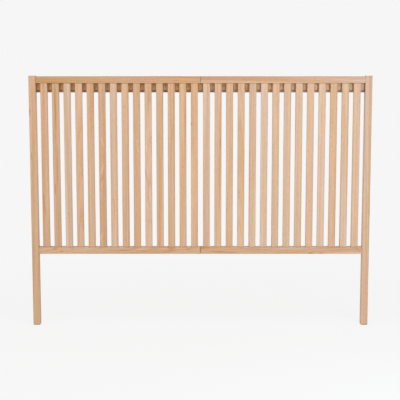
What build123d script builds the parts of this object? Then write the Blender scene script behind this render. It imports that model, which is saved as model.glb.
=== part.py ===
from build123d import *
import os

os.makedirs("parts", exist_ok=True)

# A free-standing slatted headboard in oak, in millimetres.
# The origin is on the floor, midway between the posts and midway through their depth.
# X runs along the width, the front faces -Y, and Z points up.

# Overall size
overall_width = 1620.0
overall_height = 1200.0

# Wood sections
post_width = 33.0
slat_width = 33.0
slat_thickness = 18.0
top_board_height = 33.0
bottom_rail_height = 33.0
rear_rail_height = 76.0
rear_rail_thickness = 15.0

# Layout
leg_height = 350.0
post_top_rise = 2.5
slats_per_half = 14
centre_gap = 24.6
seam_gap = 0.4

# Shaped edges
edge_round = 1.5
foot_chamfer = 3.0
cleat_nose = 2.0

# Dowels
dowel_diameter = 8.0
dowel_length = 40.0
dowel_chamfer = 1.0
dowel_fit = 0.1
dowel_end_room = 1.0
dowel_place_share = 0.24

# Countersunk wood screws
screw_diameter = 3.5
screw_head_diameter = 7.0
screw_head_depth = 2.0
screw_tip_diameter = 0.8
screw_tip_length = 4.0
screw_sink = 0.3
screw_fit = 0.1
screw_front_wall = 5.0
cross_length = 3.8
cross_width = 1.0
cross_depth = 1.4
board_screws_per_half = 4
board_screw_edge = 60.0

# Steel plate across the seam of the bottom rail
plate_length = 160.0
plate_height = 22.0
plate_thickness = 2.5
plate_corner = 4.0
plate_fit = 0.2
plate_screws_per_half = 3
plate_screw_length = 16.0
plate_screw_edge = 10.0
plate_screw_seam_distance = 32.0

# Extra length of a cutting shape past the face that it starts from
overrun = 1.0

# Places that follow from the sizes
frame_depth = slat_thickness + rear_rail_thickness
front_y = -frame_depth / 2
back_y = frame_depth / 2
slat_back_y = front_y + slat_thickness
slat_centre_y = front_y + slat_thickness / 2
rear_rail_centre_y = slat_back_y + rear_rail_thickness / 2

post_inner_x = overall_width / 2 - post_width
seam_x = seam_gap / 2
half_length = post_inner_x - seam_x

rail_top_z = leg_height + bottom_rail_height
rail_centre_z = leg_height + bottom_rail_height / 2
board_top_z = overall_height - post_top_rise
board_bottom_z = board_top_z - top_board_height
board_centre_z = board_top_z - top_board_height / 2
rear_rail_bottom_z = board_top_z - rear_rail_height
rear_rail_centre_z = board_top_z - rear_rail_height / 2
bevel_top_z = rear_rail_bottom_z + rear_rail_thickness - cleat_nose
slat_length = board_bottom_z - rail_top_z

# The slats of a half share its width evenly, from the post to half of the centre gap.
# They are counted from the post.
slat_run = post_inner_x - centre_gap / 2
slat_pitch = slat_run / slats_per_half
slat_gap = slat_pitch - slat_width
first_slat_x = post_inner_x - slat_gap - slat_width / 2
slat_places = [first_slat_x - n * slat_pitch for n in range(slats_per_half)]
slat_screw_z = (board_bottom_z + bevel_top_z) / 2

screw_bite = slat_thickness - screw_front_wall
rail_screw_length = rear_rail_thickness - screw_sink + screw_bite

corner = (Align.MIN, Align.MIN, Align.MIN)
on_end = (Align.CENTER, Align.CENTER, Align.MIN)
sides = {"left": -1, "right": 1}


# Basic shapes

def lumber(length_x, depth_y, height_z):
    # A planed length of wood with every edge rounded over, on its lowest corner.
    block = Box(length_x, depth_y, height_z, align=corner)
    return fillet(block.edges(), edge_round)


def at_side(shape, side):
    # Shapes are made for the right half, and the left half is their mirror image.
    return shape if side > 0 else mirror(shape, about=Plane.YZ)


def dowel(centre, direction):
    pin = Cylinder(dowel_diameter / 2, dowel_length)
    pin = chamfer(pin.edges().filter_by(GeomType.CIRCLE), dowel_chamfer)
    return Plane(origin=centre, z_dir=direction) * pin


def dowel_hole(centre, direction):
    # One bore through the joint: the dowel lies half in each piece, with glue room at its ends.
    bore = Cylinder(dowel_diameter / 2 + dowel_fit, dowel_length + 2 * dowel_end_room)
    return Plane(origin=centre, z_dir=direction) * bore


def turned(points):
    # A solid of revolution about Z from half of its outline.
    outline = make_face(Polyline(*points, close=True))
    return revolve(Plane.XZ * outline, axis=Axis.Z)


def screw(place, length):
    # A countersunk wood screw, driven forwards from its place on a back face.
    outline = [
        (0, 0),
        (screw_head_diameter / 2, 0),
        (screw_diameter / 2, -screw_head_depth),
        (screw_diameter / 2, screw_tip_length - length),
        (screw_tip_diameter / 2, -length),
        (0, -length),
    ]
    body = turned(outline)
    slot_place = Pos(0, 0, -cross_depth)
    slot_height = cross_depth + overrun
    body -= slot_place * Box(cross_length, cross_width, slot_height, align=on_end)
    body -= slot_place * Box(cross_width, cross_length, slot_height, align=on_end)
    return Plane(origin=place, z_dir=(0, 1, 0)) * Pos(0, 0, -screw_sink) * body


def screw_hole(place, length):
    # The countersink and bore for a screw, clear of it all round.
    head_radius = screw_head_diameter / 2 + screw_fit
    bore_radius = screw_diameter / 2 + screw_fit
    outline = [
        (0, overrun + screw_sink),
        (head_radius, overrun + screw_sink),
        (head_radius, 0),
        (bore_radius, -screw_head_depth),
        (bore_radius, -length - screw_fit),
        (0, -length - screw_fit),
    ]
    bore = turned(outline)
    return Plane(origin=place, z_dir=(0, 1, 0)) * Pos(0, 0, -screw_sink) * bore


def spread(first, last, count):
    # Evenly spaced places from first to last.
    step = (last - first) / (count - 1)
    return [first + n * step for n in range(count)]


def pair(centre_z, height):
    # The two dowel heights across the end of a board or rail.
    return [centre_z - height * dowel_place_share, centre_z + height * dowel_place_share]


# Places of the joints, for the right half

slat_dowel_places = [(x, slat_centre_y, rail_top_z) for x in slat_places]

board_dowel_heights = pair(board_centre_z, top_board_height)
rail_dowel_heights = pair(rail_centre_z, bottom_rail_height)
rear_dowel_heights = pair(rear_rail_centre_z, rear_rail_height)

post_dowel_places = (
    [(post_inner_x, slat_centre_y, z) for z in board_dowel_heights]
    + [(post_inner_x, 0, z) for z in rail_dowel_heights]
    + [(post_inner_x, rear_rail_centre_y, z) for z in rear_dowel_heights]
)
seam_dowel_places = (
    [(0, slat_centre_y, z) for z in board_dowel_heights]
    + [(0, 0, z) for z in rail_dowel_heights]
)

slat_screw_places = [(x, back_y, slat_screw_z) for x in slat_places]
board_screw_run = spread(board_screw_edge, post_inner_x - board_screw_edge, board_screws_per_half)
board_screw_places = [(x, back_y, board_centre_z) for x in board_screw_run]
plate_screw_run = spread(
    plate_screw_seam_distance, plate_length / 2 - plate_screw_edge, plate_screws_per_half
)
plate_screw_places = [(x, back_y, rail_centre_z) for x in plate_screw_run]

across = (1, 0, 0)
upwards = (0, 0, 1)


def both_sides(places):
    return [(side * x, y, z) for side in sides.values() for x, y, z in places]


# Wooden pieces

def post():
    block = Box(post_width, frame_depth, overall_height, align=corner)
    block = chamfer(block.faces().sort_by(Axis.Z)[0].edges(), foot_chamfer)
    block = Pos(post_inner_x, front_y, 0) * fillet(block.edges(), edge_round)
    for place in post_dowel_places:
        block -= dowel_hole(place, across)
    return block


def top_board():
    board = lumber(half_length, slat_thickness, top_board_height)
    board = Pos(seam_x, front_y, board_bottom_z) * board
    for place in post_dowel_places + seam_dowel_places:
        board -= dowel_hole(place, across)
    for place in board_screw_places:
        board -= screw_hole(place, rail_screw_length)
    return board


def bottom_rail():
    rail = lumber(half_length, frame_depth, bottom_rail_height)
    rail = Pos(seam_x, front_y, leg_height) * rail
    for place in post_dowel_places + seam_dowel_places:
        rail -= dowel_hole(place, across)
    for place in slat_dowel_places:
        rail -= dowel_hole(place, upwards)
    rail -= Pos(0, back_y, rail_centre_z) * plate_outline(plate_fit, 2 * plate_thickness)
    for place in plate_screw_places:
        rail -= screw_hole(place, plate_screw_length)
    return rail


def slat(centre_x):
    stave = lumber(slat_width, slat_thickness, slat_length)
    stave = Pos(centre_x - slat_width / 2, front_y, rail_top_z) * stave
    stave -= dowel_hole((centre_x, slat_centre_y, rail_top_z), upwards)
    stave -= screw_hole((centre_x, back_y, slat_screw_z), rail_screw_length)
    return stave


def rear_rail():
    # One board over the full width. Its lower edge slants up to the front, like a hanging cleat.
    profile = make_face(
        Polyline(
            (slat_back_y, board_top_z),
            (slat_back_y, bevel_top_z),
            (back_y - cleat_nose, rear_rail_bottom_z),
            (back_y, rear_rail_bottom_z),
            (back_y, board_top_z),
            close=True,
        )
    )
    rail = extrude(Plane.YZ * profile, amount=post_inner_x, both=True)
    rail = fillet(rail.faces().sort_by(Axis.Z)[-1].edges(), edge_round)
    for place in both_sides(post_dowel_places):
        rail -= dowel_hole(place, across)
    for place in both_sides(slat_screw_places + board_screw_places):
        rail -= screw_hole(place, rail_screw_length)
    return rail


# Steel plate

def plate_outline(room, depth_y):
    # The plate's round-cornered outline, with room round it: none for the plate, some for its seat.
    blank = Box(plate_length + 2 * room, depth_y, plate_height + 2 * room)
    return fillet(blank.edges().filter_by(Axis.Y), plate_corner + room)


def joining_plate():
    # It lies in its seat, level with the back of the rail.
    plate = plate_outline(0, plate_thickness)
    plate = Pos(0, back_y - plate_thickness / 2, rail_centre_z) * plate
    for place in both_sides(plate_screw_places):
        plate -= screw_hole(place, plate_screw_length)
    return plate


# Writing the pieces

def save(name, solids):
    shape = solids[0] if len(solids) == 1 else Compound(children=solids)
    export_step(shape, "parts/" + name + ".step")


for side_name, side in sides.items():
    save(side_name + "_post", [at_side(post(), side)])
    save("top_board_" + side_name, [at_side(top_board(), side)])
    save("bottom_rail_" + side_name, [at_side(bottom_rail(), side)])
    for number, centre_x in enumerate(slat_places, start=1):
        save("slat_" + side_name + "_" + str(number).zfill(2), [at_side(slat(centre_x), side)])

save("rear_rail", [rear_rail()])
save("joining_plate", [joining_plate()])
save("slat_dowels", [dowel(place, upwards) for place in both_sides(slat_dowel_places)])
save("post_dowels", [dowel(place, across) for place in both_sides(post_dowel_places)])
save("seam_dowels", [dowel(place, across) for place in seam_dowel_places])
save("slat_screws", [screw(place, rail_screw_length) for place in both_sides(slat_screw_places)])
save("board_screws", [screw(place, rail_screw_length) for place in both_sides(board_screw_places)])
save("plate_screws", [screw(place, plate_screw_length) for place in both_sides(plate_screw_places)])
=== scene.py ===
import bpy
from math import radians
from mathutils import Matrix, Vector


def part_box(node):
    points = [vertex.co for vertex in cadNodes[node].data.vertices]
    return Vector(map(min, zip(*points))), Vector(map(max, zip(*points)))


# Slatted oak headboard, oiled, on a plain pale floor.
# X runs along its width, the front faces -Y and Z points up. Everything is in metres.

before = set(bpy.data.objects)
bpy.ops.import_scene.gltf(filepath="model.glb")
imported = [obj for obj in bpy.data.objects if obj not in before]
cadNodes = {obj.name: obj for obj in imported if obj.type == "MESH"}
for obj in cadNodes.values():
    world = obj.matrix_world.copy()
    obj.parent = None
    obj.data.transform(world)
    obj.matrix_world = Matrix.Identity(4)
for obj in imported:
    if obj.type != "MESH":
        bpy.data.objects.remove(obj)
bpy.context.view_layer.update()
bpy.ops.object.select_all(action="DESELECT")
print("frame loaded,", len(cadNodes), "nodes")


# small helpers for node trees

def addNode(tree, kind, feeds=None, **settings):
    # one node, set up, then fed with numbers or with the sockets of other nodes.
    # The nodes stand in columns of five.
    node = tree.nodes.new(kind)
    count = len(tree.nodes) - 1
    node.location = (240 * (count // 5), -300 * (count % 5))
    for name, value in settings.items():
        setattr(node, name, value)
    for name, value in (feeds or {}).items():
        if isinstance(value, bpy.types.NodeSocket):
            tree.links.new(value, node.inputs[name])
        else:
            node.inputs[name].default_value = value
    return node


def calc(tree, operation, *values):
    feeds = dict(enumerate(values))
    return addNode(tree, "ShaderNodeMath", feeds, operation=operation).outputs[0]


def calcVector(tree, operation, *values):
    feeds = dict(enumerate(values))
    return addNode(tree, "ShaderNodeVectorMath", feeds, operation=operation).outputs[0]


def scaleVector(tree, vector, factor):
    feeds = {0: vector, "Scale": factor}
    return addNode(tree, "ShaderNodeVectorMath", feeds, operation="SCALE").outputs[0]


def measure(tree, operation, *vectors):
    # a number from vectors: LENGTH or DOT_PRODUCT
    feeds = dict(enumerate(vectors))
    return addNode(tree, "ShaderNodeVectorMath", feeds, operation=operation).outputs["Value"]


def addShare(tree, value, share, base):
    # base plus a share of the value
    return calc(tree, "MULTIPLY_ADD", value, share, base)


def split(tree, vector):
    return addNode(tree, "ShaderNodeSeparateXYZ", {0: vector}).outputs


def noiseAt(tree, place, lumps, detail=2.0, output="Fac"):
    # lumps: how many lumps of noise fit in a metre, along each axis
    stretched = calcVector(tree, "MULTIPLY", place, lumps)
    feeds = {"Vector": stretched, "Scale": 1.0, "Detail": detail}
    return addNode(tree, "ShaderNodeTexNoise", feeds).outputs[output]


def ramp(tree, value, low, high, atLow=0.0, atHigh=1.0):
    # a smooth step from atLow to atHigh as the value goes from low to high
    feeds = {0: value, 1: low, 2: high, 3: atLow, 4: atHigh}
    return addNode(tree, "ShaderNodeMapRange", feeds, interpolation_type="SMOOTHSTEP").outputs[0]


def mixColours(tree, share, first, second, blend="MIX"):
    # sockets 6 and 7 and output 2 are the colour ones
    feeds = {0: share, 6: first, 7: second}
    return addNode(tree, "ShaderNodeMix", feeds, data_type="RGBA", blend_type=blend).outputs[2]


def tintBy(tree, colour, tint, mask):
    # multiplies the colour by the tint, where the mask is high
    return mixColours(tree, mask, colour, tint, "MULTIPLY")


def addGroup(tree, group, feeds):
    return addNode(tree, "ShaderNodeGroup", feeds, node_tree=group).outputs


def objectPlace(tree):
    return addNode(tree, "ShaderNodeTexCoord").outputs["Object"]


def alongGrain(tree, grainAlong, centre=(0, 0, 0)):
    # the place on a piece, measured from its centre, with the grain along Z
    turn = (0, radians(90), 0) if grainAlong == "X" else (0, 0, 0)
    feeds = {"Vector": objectPlace(tree), "Location": centre, "Rotation": turn}
    return addNode(tree, "ShaderNodeMapping", feeds, vector_type="TEXTURE").outputs[0]


# the wood's colour goes through most of the groups
colourIn = ("Colour", "colour", (0.65, 0.4, 0.23, 1))
colourOut = ("Colour", "colour")
socketKinds = {"number": "NodeSocketFloat", "vector": "NodeSocketVector", "colour": "NodeSocketColor"}


def newGroup(name, inputs, outputs):
    # an empty node group with named sockets: inputs are (label, kind, value), outputs (label, kind)
    group = bpy.data.node_groups.new(name, "ShaderNodeTree")
    for label, kind, value in inputs:
        socket = group.interface.new_socket(label, in_out="INPUT", socket_type=socketKinds[kind])
        socket.default_value = value
    for label, kind in outputs:
        group.interface.new_socket(label, in_out="OUTPUT", socket_type=socketKinds[kind])
    given = addNode(group, "NodeGroupInput").outputs
    made = addNode(group, "NodeGroupOutput").inputs
    return group, given, made


def newMaterial(name):
    material = bpy.data.materials.new(name)
    material.use_nodes = True
    material.node_tree.nodes.clear()
    return material, material.node_tree


def finishMaterial(tree, look, height, feeds):
    # the bump from a height, the shader and the material's output
    bumpFeeds = {"Height": height, "Distance": look["bumpDistance"], "Strength": look["bumpStrength"]}
    feeds["Normal"] = addNode(tree, "ShaderNodeBump", bumpFeeds).outputs[0]
    surface = addNode(tree, "ShaderNodeBsdfPrincipled", feeds).outputs[0]
    addNode(tree, "ShaderNodeOutputMaterial", {"Surface": surface})


# wood: growth rings round the tree's heart, which runs beside the piece along its own Z

grainLook = {
    # lumps of noise per metre, across the piece both ways and along it
    "slowWave": (7, 7, 1.5),        # long waves of the rings
    "quickWave": (90, 90, 12),      # short waves on them
    "quickShare": 0.22,             # size of the short waves, as a share of the long ones
    "fibre": (600, 600, 8),
    "pore": (1700, 1700, 70),
    "poreLevels": (0.58, 0.68),     # the noise at which a pore begins and is at its full depth
    "fullPores": 0.6,               # how strong a ring has to be to have all its pores
    "strayPores": 0.2,              # pores between the rings, as a share of those in them
    "drift": (120, 120, 1.6),       # slow changes of hue
    # out from the heart, not at all round it, and along it
    "band": (110, 0, 0.8),          # darker and lighter groups of years
    "uneven": (45, 0, 0.4),         # wider and narrower years
    "unevenYears": 4.0,             # how many years they may shift the rings by
    "year": (300, 0, 1.5),          # stronger and weaker years
    "yearLevels": (0.3, 0.7),
    "weakestYear": 0.3,             # strength of the faintest ring
    "porousShare": 0.6,             # how much of a year's growth the porous line fades over
    # round the heart (per radian), out from it, and along it
    "fleck": (65, 80, 45),
    "fleckLevels": (0.62, 0.74),
}

# how a piece lies in its log
logInputs = [
    ("Place", "vector", (0, 0, 0)),
    ("Heart", "vector", (0.08, 0.06, 0)),
    ("Lean", "vector", (0.01, 0, 0)),
    ("Shift", "vector", (0, 0, 0)),
    ("Ring Width", "number", 0.003),
    ("Wander", "number", 0.004),
]
grainOutputs = ("Rings", "Bands", "Fibre", "Pores", "Flecks", "Warmth", "Hue")


def centredNoise(tree, place, lumps):
    # three noises at once, from -0.5 to 0.5
    noise = noiseAt(tree, place, lumps, detail=1.0, output="Color")
    return calcVector(tree, "SUBTRACT", noise, (0.5, 0.5, 0.5))


def makeWoodGrain(look):
    group, given, made = newGroup("woodGrain", logInputs, [(label, "number") for label in grainOutputs])
    moved = calcVector(group, "ADD", given["Place"], given["Shift"])
    slow = centredNoise(group, moved, look["slowWave"])
    quick = centredNoise(group, moved, look["quickWave"])
    wave = calcVector(group, "ADD", slow, scaleVector(group, quick, look["quickShare"]))
    bent = calcVector(group, "ADD", given["Place"], scaleVector(group, wave, given["Wander"]))
    along = split(group, given["Place"])["Z"]
    heart = calcVector(group, "ADD", given["Heart"], scaleVector(group, given["Lean"], along))
    out = calcVector(group, "MULTIPLY", calcVector(group, "SUBTRACT", bent, heart), (1, 1, 0))
    radius = measure(group, "LENGTH", out)
    ringPlace = addNode(group, "ShaderNodeCombineXYZ", {"X": radius, "Z": along}).outputs[0]
    ringPlace = calcVector(group, "ADD", ringPlace, given["Shift"])

    # each ring starts with a porous line and fades into dense wood, and no two years are alike
    uneven = calc(group, "MULTIPLY", noiseAt(group, ringPlace, look["uneven"]), look["unevenYears"])
    count = calc(group, "ADD", calc(group, "DIVIDE", radius, given["Ring Width"]), uneven)
    porous = ramp(group, calc(group, "FRACT", count), 0.0, look["porousShare"], 1.0, 0.0)
    yearNoise = noiseAt(group, ringPlace, look["year"])
    year = ramp(group, yearNoise, *look["yearLevels"], look["weakestYear"], 1.0)
    rings = calc(group, "MULTIPLY", porous, year)

    # pores are fine dashes along the fibre, most of them in the porous lines
    fibrePlace = calcVector(group, "ADD", bent, given["Shift"])
    dashes = ramp(group, noiseAt(group, fibrePlace, look["pore"], detail=1.0), *look["poreLevels"])
    inLines = ramp(group, rings, 0.0, look["fullPores"], look["strayPores"], 1.0)

    # flecks are the rays, which run out from the heart
    parts = split(group, out)
    turn = calc(group, "ARCTAN2", parts["Y"], parts["X"])
    rayPlace = addNode(group, "ShaderNodeCombineXYZ", {"X": turn, "Y": radius, "Z": along}).outputs[0]
    rays = noiseAt(group, rayPlace, look["fleck"], detail=1.0)
    drift = noiseAt(group, moved, look["drift"], detail=3.0, output="Color")
    hues = addNode(group, "ShaderNodeSeparateColor", {0: drift}).outputs
    fills = {
        "Rings": rings,
        "Bands": noiseAt(group, ringPlace, look["band"]),
        "Fibre": noiseAt(group, fibrePlace, look["fibre"], detail=3.0),
        "Pores": calc(group, "MULTIPLY", dashes, inLines),
        "Flecks": ramp(group, rays, *look["fleckLevels"]),
        "Warmth": hues[0],
        "Hue": hues[1],
    }
    for label, value in fills.items():
        group.links.new(value, made[label])
    return group


woodGrain = makeWoodGrain(grainLook)


# the finish on it: how the oil brings out rings, pores and flecks

oilLook = {
    "bandTint": (0.88, 0.765, 0.60, 1),
    "ringTint": (0.91, 0.82, 0.69, 1),
    "poreTint": (0.58, 0.46, 0.36, 1),
    "fleckTint": (1.07, 1.07, 1.06, 1),
    "warmTint": (1.04, 1.0, 0.92, 1),
    "coolTint": (0.96, 1.0, 1.08, 1),
    "rosyTint": (1.015, 0.97, 1.015, 1),
    "strawTint": (0.985, 1.03, 0.975, 1),
    "fibreTint": (0.92, 0.88, 0.82, 1),
    # the noise at which a tint begins and is full
    "bandLevels": (0.4, 0.62),
    "fibreLevels": (0.75, 0.25),
    "highDrift": (0.48, 0.66),      # warm and rosy
    "lowDrift": (0.52, 0.34),       # cool and straw
    # roughness of the oiled wood, and what is added to it
    "roughness": 0.56,
    "poreRoughness": 0.2,
    "fibreRoughness": 0.1,
    "fleckRoughness": -0.08,
    # heights, as shares of the bump's distance
    "fibreHeight": 0.5,
    "poreHeight": -1.0,
    "ringHeight": -0.4,
    "bumpDistance": 0.00012,
    "bumpStrength": 0.5,
    "ior": 1.48,
    "specular": 0.25,
}


def makeOiledWood(look):
    inputs = logInputs + [("Figure", "number", 1.0), colourIn]
    outputs = [colourOut, ("Roughness", "number"), ("Height", "number")]
    group, given, made = newGroup("oiledWood", inputs, outputs)
    grain = addGroup(group, woodGrain, {label: given[label] for label, kind, value in logInputs})
    figure = given["Figure"]
    bands = calc(group, "MULTIPLY", ramp(group, grain["Bands"], *look["bandLevels"]), figure)
    rings = calc(group, "MULTIPLY", grain["Rings"], figure)
    masks = {
        "bandTint": bands,
        "ringTint": rings,
        "warmTint": ramp(group, grain["Warmth"], *look["highDrift"]),
        "coolTint": ramp(group, grain["Warmth"], *look["lowDrift"]),
        "rosyTint": ramp(group, grain["Hue"], *look["highDrift"]),
        "strawTint": ramp(group, grain["Hue"], *look["lowDrift"]),
        "fibreTint": ramp(group, grain["Fibre"], *look["fibreLevels"]),
        "poreTint": grain["Pores"],
        "fleckTint": grain["Flecks"],
    }
    tone = given["Colour"]
    for tint, mask in masks.items():
        tone = tintBy(group, tone, look[tint], mask)
    group.links.new(tone, made["Colour"])
    rough = addShare(group, grain["Pores"], look["poreRoughness"], look["roughness"])
    rough = addShare(group, grain["Fibre"], look["fibreRoughness"], rough)
    rough = addShare(group, grain["Flecks"], look["fleckRoughness"], rough)
    group.links.new(rough, made["Roughness"])
    height = calc(group, "MULTIPLY", grain["Fibre"], look["fibreHeight"])
    height = addShare(group, grain["Pores"], look["poreHeight"], height)
    height = addShare(group, grain["Rings"], look["ringHeight"], height)
    group.links.new(height, made["Height"])
    return group


oiledWood = makeOiledWood(oilLook)


# painted shade: rounded edges, edges round an end grain and the lines where two pieces meet are each
# darkened by a tint that stands in for the shade they lie in.
# width and reach: how far the painted shade of an edge and of a joint spreads over the faces beside them

edgeLook = {
    "slatsAndPosts": {
        "width": 0.007, "tint": (0.72, 0.82, 0.93), "endEdgeShade": (0.84, 0.67, 0.5),
        "joint": (0.72, 0.45, 0.27), "reach": 0.0035,
    },
    "board": {
        "width": 0.004, "tint": (0.92, 0.86, 0.79), "endEdgeShade": (0.92, 0.87, 0.82),
        "joint": (0.8, 0.65, 0.5), "reach": 0.0035,
    },
    "rail": {
        "width": 0.004, "tint": (0.86, 0.79, 0.71), "endEdgeShade": (0.86, 0.79, 0.71),
        "joint": (0.5, 0.31, 0.18), "reach": 0.0035,
    },
    "rear": {
        "width": 0.004, "tint": (0.92, 0.87, 0.82), "endEdgeShade": (0.92, 0.87, 0.82),
        "joint": (0.62, 0.52, 0.44), "reach": 0.006,
    },
}

# painted shade: an edge's tint goes where the Bevel normal turns from the face, a joint's tint where
# Ambient Occlusion finds the place hemmed in
edgeMasks = {
    "endWidth": (0.004, 0.008),     # how near a piece's end its tint is full, and how far it reaches
    "roundLevels": (0.998, 0.88),   # how far a face turns at an edge: where the tint begins and is full
    "roundSamples": 4,
    "jointLevels": (0.98, 0.68),    # how open a place is: where the joint's tint begins and is full
    "jointSamples": 6,
}


def makeHandledEdges(look):
    group, given, made = newGroup("shadedEdges", [
        colourIn,
        ("Edge Width", "number", 0.01),
        ("Edge Tint", "colour", (0.8, 0.8, 0.8, 1)),
        ("Joint Shade", "colour", (0.6, 0.5, 0.4, 1)),
        ("Joint Reach", "number", 0.0035),
    ], [colourOut])
    feeds = {"Radius": given["Edge Width"]}
    rounded = addNode(group, "ShaderNodeBevel", feeds, samples=look["roundSamples"]).outputs[0]
    flat = addNode(group, "ShaderNodeNewGeometry").outputs["Normal"]
    turned = ramp(group, measure(group, "DOT_PRODUCT", rounded, flat), *look["roundLevels"])
    feeds = {"Distance": given["Joint Reach"]}
    near = addNode(group, "ShaderNodeAmbientOcclusion", feeds, samples=look["jointSamples"])
    joint = ramp(group, near.outputs["AO"], *look["jointLevels"])
    # painted shade: edges where the surface turns away and joints where it is hemmed in are darkened
    edge = calc(group, "MULTIPLY", turned, calc(group, "SUBTRACT", 1.0, joint))
    tone = tintBy(group, given["Colour"], given["Edge Tint"], edge)
    tone = tintBy(group, tone, given["Joint Shade"], joint)
    group.links.new(tone, made["Colour"])
    return group


shadedEdges = makeHandledEdges(edgeMasks)


# a mark that grew in the wood: a mineral streak, a lighter figure or the eye of a knot. The same kind of
# mark also paints light, as a broad soft patch on the rear rail

markLook = {
    "raggedLumps": (260, 260, 14),
    "ragged": 0.9,                  # how far its outline strays, as a share of its half size
    "softEdge": (1.0, 0.5),         # where its tint begins and is full, from its centre
}


def makeGrownMark(look):
    group, given, made = newGroup("grownMarkAndPaintedLight", [
        ("Place", "vector", (0, 0, 0)),
        ("Centre", "vector", (0, 0, 0)),
        ("Half Width", "number", 0.003),
        ("Half Length", "number", 0.05),
        ("Turn", "number", 0.0),
        colourIn,
        ("Tint", "colour", (0.8, 0.7, 0.6, 1)),
    ], [colourOut])
    offset = calcVector(group, "SUBTRACT", given["Place"], given["Centre"])
    feeds = {"Vector": offset, "Angle": given["Turn"]}
    offset = addNode(group, "ShaderNodeVectorRotate", feeds, rotation_type="Y_AXIS").outputs[0]
    parts = split(group, offset)
    across = calc(group, "DIVIDE", parts["X"], given["Half Width"])
    along = calc(group, "DIVIDE", parts["Z"], given["Half Length"])
    squares = calc(group, "MULTIPLY_ADD", across, across, calc(group, "POWER", along, 2.0))
    ragged = noiseAt(group, given["Place"], look["raggedLumps"])
    stray = calc(group, "MULTIPLY_ADD", ragged, look["ragged"], -look["ragged"] / 2)
    reach = calc(group, "ADD", calc(group, "SQRT", squares), stray)
    tone = tintBy(group, given["Colour"], given["Tint"], ramp(group, reach, *look["softEdge"]))
    group.links.new(tone, made["Colour"])
    return group


grownMarkAndPaintedLight = makeGrownMark(markLook)


# painted shade: one face of a piece darkened by a tint for the shade it lies in, such as the rear rail's
# bevel

faceLevels = (0.85, 0.97)           # how squarely a face looks that way: where the tint begins and is full


def makeTintedFace(levels):
    group, given, made = newGroup("shadedFace", [
        colourIn,
        ("Facing", "vector", (0, -0.7, -0.7)),
        ("Tint", "colour", (0.7, 0.66, 0.62, 1)),
    ], [colourOut])
    normal = addNode(group, "ShaderNodeNewGeometry").outputs["Normal"]
    facing = ramp(group, measure(group, "DOT_PRODUCT", normal, given["Facing"]), *levels)
    group.links.new(tintBy(group, given["Colour"], given["Tint"], facing), made["Colour"])
    return group


shadedFace = makeTintedFace(faceLevels)


def oakMaterial(nodeName, piece):
    # one board has one tree's rings, so each piece has its own material
    material, tree = newMaterial("oiledOak." + nodeName)
    low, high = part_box(nodeName)
    place = alongGrain(tree, piece["grainAlong"], (low + high) / 2)
    wood = addGroup(tree, oiledWood, {
        "Place": place,
        "Heart": (*piece["heart"], 0),
        "Lean": (*piece["lean"], 0),
        "Shift": piece["shift"],
        "Ring Width": piece["ringWidth"],
        "Wander": piece["wander"],
        "Figure": piece["figure"],
        "Colour": (*piece["tone"], 1),
    })
    tone = wood["Colour"]
    along = split(tree, place)["Z"]
    half = max(high - low) / 2
    # painted light and shade along the piece
    if "paintedLightAlong" in piece:
        tone = tintBy(tree, tone, (*piece["paintedLightAlong"], 1), ramp(tree, along, -half, half))
    # marks grown in the wood, and on the rear rail a broad patch of painted light
    for mark in piece.get("marksAndPaintedLight", []):
        tone = addGroup(tree, grownMarkAndPaintedLight, {
            "Place": place,
            "Centre": (mark["at"][0], 0, mark["at"][1]),
            "Half Width": mark["size"][0] / 2,
            "Half Length": mark["size"][1] / 2,
            "Turn": radians(mark.get("turn", 0)),
            "Colour": tone,
            "Tint": (*mark["tint"], 1),
        })["Colour"]
    # painted shade on single faces that lie in shadow
    for face in piece.get("faces", []):
        feeds = {"Colour": tone, "Facing": face["facing"], "Tint": (*face["tint"], 1)}
        tone = addGroup(tree, shadedFace, feeds)["Colour"]
    # painted shade on the piece's rounded edges and in its joints, greyer along the edges and browner near
    # the ends
    edge = edgeLook[piece["edge"]]
    near, far = edgeMasks["endWidth"]
    atEnd = ramp(tree, calc(tree, "ABSOLUTE", along), half - far, half - near)
    edges = addGroup(tree, shadedEdges, {
        "Colour": tone,
        "Edge Width": edge["width"],
        "Edge Tint": mixColours(tree, atEnd, (*edge["tint"], 1), (*edge["endEdgeShade"], 1)),
        "Joint Shade": (*edge["joint"], 1),
        "Joint Reach": edge["reach"],
    })
    finishMaterial(tree, oilLook, wood["Height"], {
        "Base Color": edges["Colour"],
        "Roughness": wood["Roughness"],
        "IOR": oilLook["ior"],
        "Specular IOR Level": oilLook["specular"],
    })
    return material


def dress(nodeName, material):
    for slot in cadNodes[nodeName].material_slots:
        slot.material = material


# the slats: tones of oak, and how each slat was cut from its log

tones = {
    "brown": (0.70, 0.46, 0.31),
    "honey": (0.72, 0.475, 0.32),
    "straw": (0.74, 0.49, 0.33),
    "amber": (0.75, 0.51, 0.35),
    "wheat": (0.77, 0.53, 0.39),
    "cream": (0.74, 0.53, 0.40),
    "pale": (0.77, 0.56, 0.45),
    "linen": (0.76, 0.58, 0.47),
    "chalk": (0.78, 0.61, 0.52),
}

# heart: where the tree's heart passes the piece. lean: how far it moves over a metre of the piece.
# figure: how strongly the years show. depth: a plain piece has few dark years, so its whole tone is
# a little deeper.
cuts = {
    "quarter": {"heart": (0.13, 0.015), "lean": (0.005, 0.003), "figure": 0.9, "depth": (1, 1, 1)},
    "rift": {"heart": (0.08, 0.07), "lean": (0.005, 0.006), "figure": 0.9, "depth": (1, 1, 1)},
    "flat": {"heart": (0.006, 0.06), "lean": (0.003, 0.012), "figure": 0.6, "depth": (1, 1, 1)},
    "plain": {"heart": (0.16, 0.03), "lean": (0.004, 0.003), "figure": 0.45, "depth": (0.97, 0.94, 0.9)},
}

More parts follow.
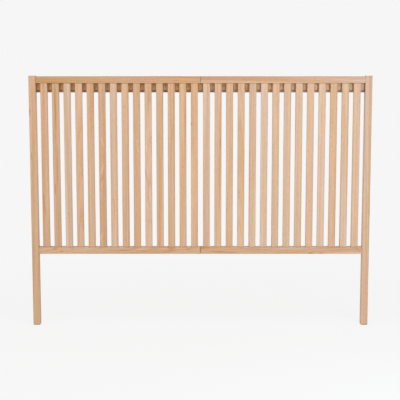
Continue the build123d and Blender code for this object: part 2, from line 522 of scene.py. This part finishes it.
slats = {
    "ringWidth": 0.0028,
    "ringSpread": 0.25,             # how much wider or narrower a slat's rings may be
    "wander": 0.004,
    "shiftStep": (1.37, 0.61, 2.23),    # how far apart two slats lie in the noise
    # from the left post to the centre, then from the centre to the right post
    "left": [
        ("honey", "rift"), ("honey", "quarter"), ("linen", "rift"), ("straw", "flat"),
        ("straw", "rift"), ("brown", "rift"), ("pale", "quarter"), ("straw", "rift"),
        ("honey", "quarter"), ("amber", "flat"), ("straw", "rift"), ("honey", "quarter"),
        ("straw", "rift"), ("amber", "quarter"),
    ],
    # painted light in part: the right half's paler tones are partly the wood's own and partly the
    # brighter, cooler light on that side
    "right": [
        ("pale", "rift"), ("wheat", "quarter"), ("amber", "rift"), ("straw", "flat"),
        ("cream", "rift"), ("chalk", "rift"), ("cream", "plain"), ("cream", "plain"),
        ("cream", "plain"), ("wheat", "plain"), ("pale", "plain"), ("straw", "plain"),
        ("cream", "rift"), ("cream", "plain"),
    ],
}

# marks: at and size are across the piece and along it, from its centre. turn is in degrees.
slatMarks = {
    "slat_left_01": [
        {"at": (-0.0065, -0.19), "size": (0.0045, 0.18), "turn": 6, "tint": (0.8, 0.66, 0.56)},
        {"at": (-0.008, 0.15), "size": (0.022, 0.7), "tint": (1.03, 1.09, 1.2)},
        {"at": (0.0095, 0.1), "size": (0.005, 0.55), "turn": 0.3, "tint": (0.96, 0.86, 0.85)},
    ],
    "slat_left_02": [
        {"at": (-0.001, 0.27), "size": (0.009, 0.3), "turn": 1.3, "tint": (0.88, 0.77, 0.56)},
        {"at": (-0.012, 0.3), "size": (0.012, 0.3), "tint": (1.04, 1.1, 1.22)},
        {"at": (0.007, 0.03), "size": (0.011, 0.2), "tint": (0.95, 0.87, 0.78)},
        {"at": (0.0035, -0.01), "size": (0.005, 0.22), "tint": (0.84, 0.68, 0.54)},
        {"at": (-0.008, -0.11), "size": (0.005, 0.08), "tint": (0.7, 0.55, 0.45)},
    ],
    "slat_left_03": [
        {"at": (0.009, 0.24), "size": (0.005, 0.26), "tint": (0.92, 0.85, 0.88)},
    ],
    "slat_left_05": [
        {"at": (-0.008, 0.0), "size": (0.02, 1.2), "tint": (1.03, 1.09, 1.13)},
        {"at": (0.012, -0.2), "size": (0.02, 0.6), "tint": (0.95, 0.94, 0.87)},
    ],
    "slat_left_06": [
        {"at": (0.001, 0.111), "size": (0.006, 0.09), "turn": 18, "tint": (1.16, 1.22, 1.25)},
        {"at": (0.0, -0.005), "size": (0.005, 0.06), "turn": -18, "tint": (1.2, 1.3, 1.35)},
        {"at": (-0.006, -0.03), "size": (0.005, 0.06), "turn": -18, "tint": (1.2, 1.3, 1.35)},
        {"at": (-0.001, -0.06), "size": (0.005, 0.06), "turn": -16, "tint": (0.8, 0.7, 0.64)},
        {"at": (-0.006, -0.088), "size": (0.005, 0.06), "turn": -14, "tint": (1.2, 1.3, 1.35)},
        {"at": (-0.009, -0.137), "size": (0.005, 0.06), "turn": 6, "tint": (1.2, 1.28, 1.32)},
        {"at": (-0.009, -0.34), "size": (0.006, 0.05), "turn": -12, "tint": (1.2, 1.3, 1.35)},
        {"at": (0.009, -0.25), "size": (0.014, 0.3), "tint": (1.03, 1.06, 1.18)},
    ],
    "slat_left_07": [
        {"at": (0.0, -0.2), "size": (0.005, 0.16), "turn": 4, "tint": (0.93, 0.78, 0.77)},
        {"at": (0.008, 0.3), "size": (0.012, 0.25), "tint": (1.0, 1.02, 1.1)},
    ],
    "slat_left_09": [
        {"at": (0.001, 0.115), "size": (0.005, 0.05), "turn": -6, "tint": (1.12, 1.2, 1.28)},
        {"at": (0.006, 0.075), "size": (0.007, 0.03), "turn": 20, "tint": (1.14, 1.24, 1.34)},
    ],
    "slat_left_10": [
        {"at": (-0.0095, -0.05), "size": (0.005, 0.13), "turn": 12, "tint": (0.82, 0.64, 0.56)},
        {"at": (0.001, -0.16), "size": (0.005, 0.13), "turn": 5, "tint": (0.88, 0.74, 0.66)},
        {"at": (0.002, 0.283), "size": (0.005, 0.22), "tint": (0.95, 0.8, 0.82)},
        {"at": (-0.008, 0.085), "size": (0.006, 0.045), "turn": 10, "tint": (1.15, 1.22, 1.27)},
    ],
    "slat_left_11": [
        {"at": (-0.01, 0.0), "size": (0.018, 1.2), "tint": (0.94, 0.92, 0.93)},
        {"at": (0.008, 0.15), "size": (0.018, 0.7), "tint": (1.01, 1.06, 1.11)},
    ],
    "slat_left_12": [
        {"at": (0.005, 0.154), "size": (0.006, 0.1), "tint": (0.93, 0.79, 0.63)},
    ],
    "slat_left_13": [
        {"at": (-0.002, 0.061), "size": (0.0045, 0.14), "tint": (0.95, 0.81, 0.77)},
        {"at": (-0.002, -0.004), "size": (0.006, 0.0065), "tint": (0.62, 0.5, 0.38)},
        {"at": (0.0105, 0.223), "size": (0.005, 0.16), "tint": (0.93, 0.83, 0.74)},
        {"at": (0.006, 0.1), "size": (0.016, 0.8), "tint": (1.04, 1.08, 1.1)},
    ],
    "slat_left_14": [
        {"at": (-0.0125, 0.2), "size": (0.008, 0.009), "tint": (0.5, 0.42, 0.3)},
        {"at": (-0.0045, 0.108), "size": (0.006, 0.09), "tint": (0.94, 0.81, 0.67)},
    ],
    "slat_right_13": [
        {"at": (-0.009, 0.1), "size": (0.014, 0.9), "tint": (1.08, 1.13, 1.19)},
        {"at": (0.008, 0.065), "size": (0.018, 0.7), "tint": (0.94, 0.86, 0.77)},
        {"at": (0.0115, 0.111), "size": (0.004, 0.07), "tint": (0.78, 0.6, 0.48)},
    ],
}


def slatPiece(name, toneName, cutName, count):
    cut = cuts[cutName]
    side = -1 if count % 3 == 0 else 1      # which side of the slat the heart lies on
    spread = ((count * 7) % 5 - 2) / 2      # from -1 to 1, and never alike for neighbours
    return {
        "grainAlong": "Z",
        "tone": [part * share for part, share in zip(tones[toneName], cut["depth"])],
        "heart": (side * cut["heart"][0], cut["heart"][1]),
        "lean": (side * cut["lean"][0], cut["lean"][1]),
        "shift": [count * step for step in slats["shiftStep"]],
        "ringWidth": slats["ringWidth"] * (1 + slats["ringSpread"] * spread),
        "wander": slats["wander"],
        "figure": cut["figure"],
        "edge": "slatsAndPosts",
        "marksAndPaintedLight": slatMarks.get(name, []),
    }


# nodes are numbered from each post, and the lists above run from left to right
slatsPerHalf = len(slats["left"])
halves = {"left": range(1, slatsPerHalf + 1), "right": range(slatsPerHalf, 0, -1)}
count = 0
for sideName, numbers in halves.items():
    for number, (toneName, cutName) in zip(numbers, slats[sideName]):
        count += 1
        nodeName = "slat_" + sideName + "_" + str(number).zfill(2)
        dress(nodeName, oakMaterial(nodeName, slatPiece(nodeName, toneName, cutName, count)))
print("slats oiled")


# posts, boards and rails
# the tint that grows along a piece, from none at one end to full at the top or the right end, is painted
# light and shade for the light changing along it

framePieces = {
    "left_post": {
        "grainAlong": "Z", "tone": (0.69, 0.47, 0.30), "paintedLightAlong": (1.04, 1.01, 1.04),
        "heart": (0.07, 0.08), "lean": (0.008, 0.01),
        "shift": (44.0, 3.6, 9.0), "ringWidth": 0.0030, "wander": 0.006, "figure": 0.8, "edge": "slatsAndPosts",
        "marksAndPaintedLight": [
            {"at": (0, 0.1), "size": (0.2, 0.8), "tint": (1.05, 1.05, 1.07)},
            {"at": (-0.0125, 0.428), "size": (0.006, 0.055), "tint": (0.72, 0.6, 0.5)},
            {"at": (-0.009, 0.223), "size": (0.005, 0.04), "tint": (0.76, 0.64, 0.55)},
        ],
    },
    "right_post": {
        # its paler, cooler tone is partly the wood's own and partly painted light, the brighter light on
        # the right
        "grainAlong": "Z", "tone": (0.74, 0.51, 0.37), "paintedLightAlong": (0.94, 0.97, 1.02),
        "heart": (-0.09, 0.05), "lean": (-0.01, 0.012),
        "shift": (43.0, 5.0, 1.0), "ringWidth": 0.0026, "wander": 0.006, "figure": 0.8, "edge": "slatsAndPosts",
    },
    "top_board_left": {
        "grainAlong": "X", "tone": (0.62, 0.385, 0.21), "paintedLightAlong": (1.09, 1.07, 1.19),
        "heart": (0.03, 0.08), "lean": (0.01, 0.01),
        "shift": (47.0, 9.0, 2.0), "ringWidth": 0.0030, "wander": 0.007, "figure": 0.9, "edge": "board",
        "marksAndPaintedLight": [{"at": (0, 0.3884), "size": (0.2, 0.007), "tint": (0.9, 0.86, 0.82)}],
    },
    "top_board_right": {
        "grainAlong": "X", "tone": (0.68, 0.44, 0.31), "paintedLightAlong": (1.05, 1.17, 1.39),
        "heart": (-0.05, 0.07), "lean": (0.01, -0.01),
        "shift": (53.0, 2.0, 6.0), "ringWidth": 0.0028, "wander": 0.007, "figure": 0.9, "edge": "board",
        "marksAndPaintedLight": [{"at": (0, -0.3884), "size": (0.2, 0.007), "tint": (0.9, 0.86, 0.82)}],
    },
    "bottom_rail_left": {
        "grainAlong": "X", "tone": (0.70, 0.455, 0.305), "paintedLightAlong": (1.04, 1.1, 1.17),
        "heart": (-0.006, 0.035), "lean": (0.01, 0.03),
        "shift": (59.0, 4.0, 3.0), "ringWidth": 0.0036, "wander": 0.012, "figure": 0.9, "edge": "rail",
        "marksAndPaintedLight": [
            {"at": (0.0025, -0.278), "size": (0.007, 0.02), "tint": (0.7, 0.56, 0.46)},
            {"at": (-0.001, 0.006), "size": (0.005, 0.18), "turn": 1, "tint": (0.87, 0.76, 0.68)},
            {"at": (-0.005, 0.105), "size": (0.008, 0.07), "turn": 3, "tint": (1.12, 1.17, 1.2)},
            {"at": (0.001, 0.105), "size": (0.005, 0.08), "turn": 3, "tint": (0.83, 0.71, 0.61)},
            {"at": (-0.008, 0.21), "size": (0.008, 0.06), "tint": (1.12, 1.18, 1.22)},
            {"at": (-0.003, 0.3), "size": (0.005, 0.12), "turn": 5, "tint": (0.84, 0.72, 0.62)},
            {"at": (0, 0.3884), "size": (0.2, 0.008), "tint": (0.84, 0.76, 0.64)},
        ],
    },
    "bottom_rail_right": {
        "grainAlong": "X", "tone": (0.66, 0.42, 0.26), "paintedLightAlong": (1.08, 1.16, 1.34),
        "heart": (-0.03, 0.055), "lean": (-0.006, 0.01),
        "shift": (61.0, 8.0, 5.0), "ringWidth": 0.0032, "wander": 0.02, "figure": 1.0, "edge": "rail",
        "marksAndPaintedLight": [
            {"at": (0.007, -0.276), "size": (0.006, 0.16), "turn": -4, "tint": (0.82, 0.7, 0.58)},
            {"at": (-0.002, -0.1), "size": (0.005, 0.3), "turn": -1, "tint": (0.88, 0.78, 0.7)},
            {"at": (0.0135, 0.143), "size": (0.008, 0.04), "tint": (0.7, 0.56, 0.44)},
            {"at": (0.0135, 0.191), "size": (0.007, 0.03), "tint": (0.74, 0.6, 0.48)},
            {"at": (0, -0.3884), "size": (0.2, 0.008), "tint": (0.84, 0.76, 0.64)},
        ],
    },
    "rear_rail": {
        "grainAlong": "X", "tone": (0.735, 0.49, 0.32), "paintedLightAlong": (0.96, 0.94, 0.93),
        "heart": (0.02, 0.09), "lean": (0.005, 0.008),
        "shift": (67.0, 6.0, 4.0), "ringWidth": 0.0030, "wander": 0.01, "figure": 0.9, "edge": "rear",
        # painted light: this broad mark, with the tint along the rail, makes it lighter and cooler towards
        # the right, where the lamp reaches between the slats
        "marksAndPaintedLight": [{"at": (0, 0.74), "size": (0.6, 2.0), "tint": (1.18, 1.31, 1.65)}],
        "faces": [
            # painted shade: the front, seen between the slats, is darkened and warmed for the shadow it
            # lies in
            {"facing": (0, -1, 0), "tint": (0.92, 0.86, 0.66)},             # the front
            # painted shade: the bevel faces down and is darkened for the shade under it
            {"facing": (0, -0.707, -0.707), "tint": (0.70, 0.70, 0.74)},    # the bevel
        ],
    },
}

for nodeName, piece in framePieces.items():
    dress(nodeName, oakMaterial(nodeName, piece))
print("posts, boards and rails oiled")


# beech dowels, inside the joints

dowelLook = {
    "tone": (0.62, 0.42, 0.28, 1),
    "ringTint": (0.86, 0.8, 0.74, 1),
    "fleckTint": (0.7, 0.6, 0.52, 1),
    "heart": (0.3, 0.4, 0),
    "ringWidth": 0.0021,
    "wander": 0.002,
    "fibreLevels": (0.25, 0.75),
    "fibreShades": (0.92, 1.06),    # from the darkest fibre to the lightest
    "roughness": 0.6,
    "fibreRoughness": 0.15,
    "bumpDistance": 0.0001,
    "bumpStrength": 0.4,
}


def beechMaterial(name, grainAlong, look):
    material, tree = newMaterial(name)
    grain = addGroup(tree, woodGrain, {
        "Place": alongGrain(tree, grainAlong),
        "Heart": look["heart"],
        "Ring Width": look["ringWidth"],
        "Wander": look["wander"],
    })
    tone = tintBy(tree, look["tone"], look["ringTint"], grain["Rings"])
    tone = tintBy(tree, tone, look["fleckTint"], grain["Flecks"])
    shade = ramp(tree, grain["Fibre"], *look["fibreLevels"], *look["fibreShades"])
    tone = tintBy(tree, tone, shade, 1.0)
    rough = addShare(tree, grain["Fibre"], look["fibreRoughness"], look["roughness"])
    finishMaterial(tree, look, grain["Fibre"], {"Base Color": tone, "Roughness": rough})
    return material


acrossBeech = beechMaterial("beech.across", "X", dowelLook)
uprightBeech = beechMaterial("beech.upright", "Z", dowelLook)
dress("slat_dowels", uprightBeech)
dress("post_dowels", acrossBeech)
dress("seam_dowels", acrossBeech)


# zinc-plated steel: rolled lines, a cloudy plating and a few scuffs

platingLook = {
    "tone": (0.60, 0.61, 0.63, 1),
    "cloudTint": (0.86, 0.87, 0.84, 1),
    "yellowTint": (1.0, 0.97, 0.88, 1),
    "scuffTint": (0.62, 0.6, 0.58, 1),
    # lumps of noise per metre
    "rolled": (60, 4000, 4000),
    "cloud": (160, 160, 160),
    "yellow": (45, 45, 45),
    "scuff": (900, 900, 2600),
    # the noise at which a tint begins and is full
    "cloudLevels": (0.35, 0.7),
    "yellowLevels": (0.45, 0.65),
    "scuffLevels": (0.62, 0.7),
    "scuffShare": 0.5,              # how much of the scuffs' tint shows
    "roughness": 0.3,
    "cloudRoughness": 0.15,
    "scuffRoughness": 0.2,
    "bumpDistance": 0.00002,
    "bumpStrength": 0.5,
}


def platedSteel(name, look):
    material, tree = newMaterial(name)
    place = objectPlace(tree)
    rolled = noiseAt(tree, place, look["rolled"])
    cloud = noiseAt(tree, place, look["cloud"], detail=3.0)
    yellow = noiseAt(tree, place, look["yellow"])
    scuff = ramp(tree, noiseAt(tree, place, look["scuff"]), *look["scuffLevels"])
    tone = tintBy(tree, look["tone"], look["cloudTint"], ramp(tree, cloud, *look["cloudLevels"]))
    tone = tintBy(tree, tone, look["yellowTint"], ramp(tree, yellow, *look["yellowLevels"]))
    tone = tintBy(tree, tone, look["scuffTint"], calc(tree, "MULTIPLY", scuff, look["scuffShare"]))
    rough = addShare(tree, cloud, look["cloudRoughness"], look["roughness"])
    rough = addShare(tree, scuff, look["scuffRoughness"], rough)
    finishMaterial(tree, look, rolled, {"Base Color": tone, "Roughness": rough, "Metallic": 1.0})
    return material


zincPlate = platedSteel("zincPlatedSteel", platingLook)
for nodeName in ("joining_plate", "slat_screws", "board_screws", "plate_screws"):
    dress(nodeName, zincPlate)
print("dowels, screws and plate finished")


# floor: the camera sees it as pale as the background, with the object's faint shadow

backdropShade = (0.9216, 0.9216, 0.9216, 1)

floor = {
    "size": 80.0,
    "litColour": (0.95, 0.95, 0.95, 1),
    "bounceColour": (0.5, 0.5, 0.5, 1),
    "shadowShare": 0.15,            # how much of the shadow shows
    "shadowReach": (1.1, 2.2),      # the shadow fades out between these distances from the middle
}


def seenDirectly(tree):
    # 1 where the camera, a reflection or a clear view through glass looks at the surface
    path = addNode(tree, "ShaderNodeLightPath").outputs
    direct = calc(tree, "MAXIMUM", path["Is Camera Ray"], path["Is Glossy Ray"])
    return calc(tree, "MAXIMUM", direct, path["Is Transmission Ray"])


def mixShaders(tree, share, first, second):
    return addNode(tree, "ShaderNodeMixShader", {0: share, 1: first, 2: second}).outputs[0]


bpy.ops.mesh.primitive_plane_add(size=floor["size"], location=(0, 0, 0))
floorObject = bpy.context.object
floorObject.name = "floor"
floorMaterial, tree = newMaterial("paleFloor")
distance = measure(tree, "LENGTH", objectPlace(tree))
share = ramp(tree, distance, *floor["shadowReach"], floor["shadowShare"], 0.0)
plain = addNode(tree, "ShaderNodeEmission", {"Color": backdropShade, "Strength": 1.0}).outputs[0]
lit = addNode(tree, "ShaderNodeBsdfDiffuse", {"Color": floor["litColour"]}).outputs[0]
bounce = addNode(tree, "ShaderNodeBsdfDiffuse", {"Color": floor["bounceColour"]}).outputs[0]
surface = mixShaders(tree, seenDirectly(tree), bounce, mixShaders(tree, share, plain, lit))
addNode(tree, "ShaderNodeOutputMaterial", {"Surface": surface})
floorObject.data.materials.append(floorMaterial)


# world: the same pale background, and a plain soft light from all round

surround = {
    "light": (1.0, 1.0, 1.0, 1),
    "strength": 0.76,
}

world = bpy.data.worlds.new("studio")
world.use_nodes = True
world.node_tree.nodes.clear()
bpy.context.scene.world = world
tree = world.node_tree
feeds = {"Color": surround["light"], "Strength": surround["strength"]}
ambient = addNode(tree, "ShaderNodeBackground", feeds).outputs[0]
shown = addNode(tree, "ShaderNodeBackground", {"Color": backdropShade, "Strength": 1.0}).outputs[0]
surface = mixShaders(tree, seenDirectly(tree), ambient, shown)
addNode(tree, "ShaderNodeOutputWorld", {"Surface": surface})


# lamps: power in watts, size in metres

lamps = {
    "keyRight": {"at": (1.5, -2.2, 0.95), "aim": (0.3, 0, 0.75), "size": (0.3, 0.5),
                 "power": 21.3, "colour": (0.86, 0.97, 1.0)},
    "sideLeft": {"at": (-2.3, -2.7, 0.95), "aim": (0, 0, 0.75), "size": (0.9, 1.4),
                 "power": 21.5, "colour": (1.0, 0.98, 0.96)},
    "overhead": {"at": (-0.1, -1.0, 2.9), "aim": (0, 0, 0.6), "size": (2.4, 1.2),
                 "power": 13, "colour": (0.96, 0.99, 1.0)},
    "behind": {"at": (0, 3.2, 0.6), "aim": (0, 0, 0.7), "size": (1.6, 0.8),
               "power": 12, "colour": (1.0, 1.0, 1.0)},
}

for name, lamp in lamps.items():
    bpy.ops.object.light_add(type="AREA", location=lamp["at"])
    light = bpy.context.object
    light.name = name
    towards = Vector(lamp["aim"]) - Vector(lamp["at"])
    light.rotation_euler = towards.to_track_quat("-Z", "Y").to_euler()
    light.data.shape = "RECTANGLE"
    light.data.size, light.data.size_y = lamp["size"]
    light.data.energy = lamp["power"]
    light.data.color = lamp["colour"]
    light.visible_camera = False
print("floor, world and lamps set")


camera = {
    "at": (-0.0022, -4.6715, 1.1907),
    "tilt": 7.1,                    # degrees down
    "lens": 88.38,                  # millimetres
    "sensor": 36.0,                 # millimetres
}

bpy.ops.object.camera_add(location=camera["at"], rotation=(radians(90 - camera["tilt"]), 0, 0))
cameraObject = bpy.context.object
cameraObject.data.lens = camera["lens"]
cameraObject.data.sensor_width = camera["sensor"]
bpy.context.scene.camera = cameraObject
bpy.context.scene.view_settings.view_transform = "Standard"

print("scene ready")
